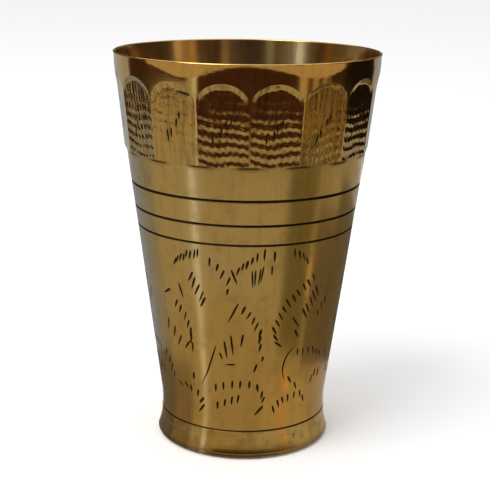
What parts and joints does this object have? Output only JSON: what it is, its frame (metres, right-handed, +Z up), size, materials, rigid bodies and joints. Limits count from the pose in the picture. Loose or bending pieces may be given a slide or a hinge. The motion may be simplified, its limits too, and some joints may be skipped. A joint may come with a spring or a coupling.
{
  "type": "brass tumbler",
  "caption": "Tall tapering brass drinking tumbler with a band of arched facets under a plain rim, turned rings, an engraved leaf pattern on the wall and a flared foot.",
  "frame": {"origin": "centre of the circle on which the foot stands", "axes": "+Z up along the axis of the tumbler; a ridge of the faceted band faces -Y, and another faces +X"},
  "size_m": [0.0882, 0.0882, 0.132],
  "materials": {
    "wall_brass": "hand-burnished brass, engraved, with light tarnish",
    "foot_brass": "turned and worn brass",
    "disc_brass": "turned brass, dulled",
    "braze_alloy": "cast bead of brazing alloy, unpolished"
  },
  "bodies": {
    "root": {"body_wall": "wall_brass", "foot_ring": "foot_brass", "base_disc": "disc_brass", "floor_braze": "braze_alloy", "foot_braze": "braze_alloy"}
  },
  "joints": []
}
